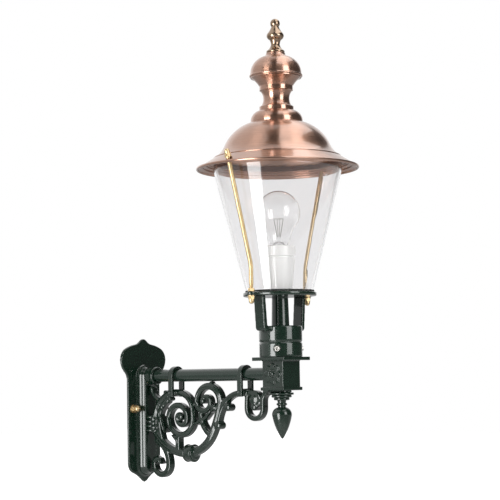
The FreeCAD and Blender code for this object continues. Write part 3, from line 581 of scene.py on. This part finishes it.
def pale_floor():
    """A pale floor well below the light: it keeps the shadow near by and fades to the white backdrop."""
    made = bpy.data.materials.new("pale_floor")
    tree = emptied_tree(made)
    seen, _ = seen_white(tree)
    reach = add(tree, "VectorMath", {0: place_socket(tree)}, operation="LENGTH").outputs["Value"]
    fade = ranged(tree, reach, *floor_glow, *floor_fade)
    matt = add(tree, "BsdfDiffuse", {"Color": floor_colour})
    glow = add(tree, "Emission", {"Color": white, "Strength": computed(tree, "MULTIPLY", seen, fade)})
    both = add(tree, "AddShader", {0: matt.outputs[0], 1: glow.outputs[0]})
    add(tree, "OutputMaterial", {"Surface": both.outputs[0]})
    corners = [(x * floor_half_size, y * floor_half_size, floor_level)
               for x, y in ((-1, -1), (1, -1), (1, 1), (-1, 1))]
    stage_panel("floor", corners, [(0, 1, 2, 3)], made)


def round_about(angle, distance, height):
    """A point round the lantern, at an angle to the right of the camera as seen from the lantern."""
    turn = camera_azimuth + math.radians(angle)
    return Vector((lantern_x + math.sin(turn) * distance, -math.cos(turn) * distance, height))


def soft_lamp(name, angle):
    """A soft lamp that faces the lantern; its bright face is left to the cards."""
    data = bpy.data.lights.new(name, "AREA")
    data.shape = "RECTANGLE"
    data.size, data.size_y = lamp_size
    data.energy = lamp_power
    lamp = bpy.data.objects.new(name, data)
    scene.collection.objects.link(lamp)
    lamp.location = round_about(angle, lamp_distance, lamp_height)
    aim = Vector((lantern_x, 0, lamp_aim)) - lamp.location
    lamp.rotation_euler = aim.to_track_quat("-Z", "Y").to_euler()
    lamp.visible_glossy = False
    lamp.visible_transmission = False


def reflected_panel(name, corners, faces, shade):
    """A glowing panel for reflections, which the camera doesn't see and which lights nothing else."""
    made = bpy.data.materials.new(name)
    tree = emptied_tree(made)
    glow = add(tree, "Emission", {"Color": white, "Strength": shade})
    add(tree, "OutputMaterial", {"Surface": glow.outputs[0]})
    panel = stage_panel(name, corners, faces, made)
    panel.visible_camera = False
    panel.visible_diffuse = False
    panel.visible_shadow = False
    return panel


def card(name, angles, heights, shade):
    """A bright curved card between two angles and two heights."""
    start, end = angles
    steps = 8
    corners = []
    for i in range(steps + 1):
        angle = start + (end - start) * i / steps
        corners += [round_about(angle, card_distance, height) for height in heights]
    faces = [(2 * i, 2 * i + 1, 2 * i + 3, 2 * i + 2) for i in range(steps)]
    reflected_panel(name, corners, faces, shade)


def overhead(name, across, shade):
    """A bright panel over the lantern, between two distances to the right of the camera's line."""
    centre = round_about(0, 0, 0)
    right, near = round_about(90, 1, 0) - centre, round_about(0, 1, 0) - centre
    middle = round_about(0, 0, overhead_height)
    spots = ((0, 0), (1, 0), (1, 1), (0, 1))
    corners = [middle + right * across[i] + near * overhead_depth[j] for i, j in spots]
    panel = reflected_panel(name, corners, [(0, 1, 2, 3)], shade)
    panel.visible_transmission = False


def room_shade(tree):
    """How bright the room's walls look in reflections: white behind, pale on the left and dark elsewhere."""
    way = add(tree, "TexCoord").outputs["Generated"]
    turned = add(tree, "VectorRotate", {"Vector": way, "Angle": -camera_azimuth}, rotation_type="Z_AXIS")
    x, y, _ = add(tree, "SeparateXYZ", {"Vector": turned.outputs[0]}).outputs
    angle = computed(tree, "ARCTAN2", x, computed(tree, "MULTIPLY", y, -1.0))
    ramp = add(tree, "ValToRGB", {"Fac": ranged(tree, angle, 0.0, 1.0, -math.pi, math.pi)})
    stops = ramp.color_ramp.elements
    while len(stops) < len(room_walls):
        stops.new(1.0)
    for stop, (degrees, shade) in zip(stops, room_walls):
        stop.position = (degrees + 180) / 360
        stop.color = (shade, shade, shade, 1)
    return ramp.outputs["Color"]


def white_world():
    """White to the camera and through glass, walls for reflections and a plain light for the rest."""
    world = bpy.data.worlds.new("studio")
    scene.world = world
    tree = emptied_tree(world)
    seen, path = seen_white(tree)
    walls = blended(tree, path.outputs["Is Glossy Ray"], (ambient, ambient, ambient, 1), room_shade(tree))
    sky = add(tree, "Background", {"Color": blended(tree, seen, walls, white), "Strength": 1.0})
    add(tree, "OutputWorld", {"Surface": sky.outputs[0]})


def make_studio():
    """The backdrop, the floor, two soft lamps and the panels that reflections see."""
    white_world()
    pale_floor()
    soft_lamp("left_lamp", -45.0)
    soft_lamp("right_lamp", 47.0)
    card("left_card", (-57.0, -32.0), (-1.1, 0.7), 9.0)
    card("right_card", (33.0, 60.0), (0.1, 1.9), 4.5)
    overhead("top_right", (0.12, 1.4), 2.0)
    overhead("top_left", (-2.4, -0.55), 0.9)
    scene.view_settings.view_transform = "Standard"


make_camera()
make_studio()
finishes = dress_nodes()
soften_castings()
filament(finishes)
rod_threads(finishes)
box_flanks(finishes)
knot_ridges(finishes)
scroll_leaves(finishes)
band_rims(finishes)
brim_beads(finishes)
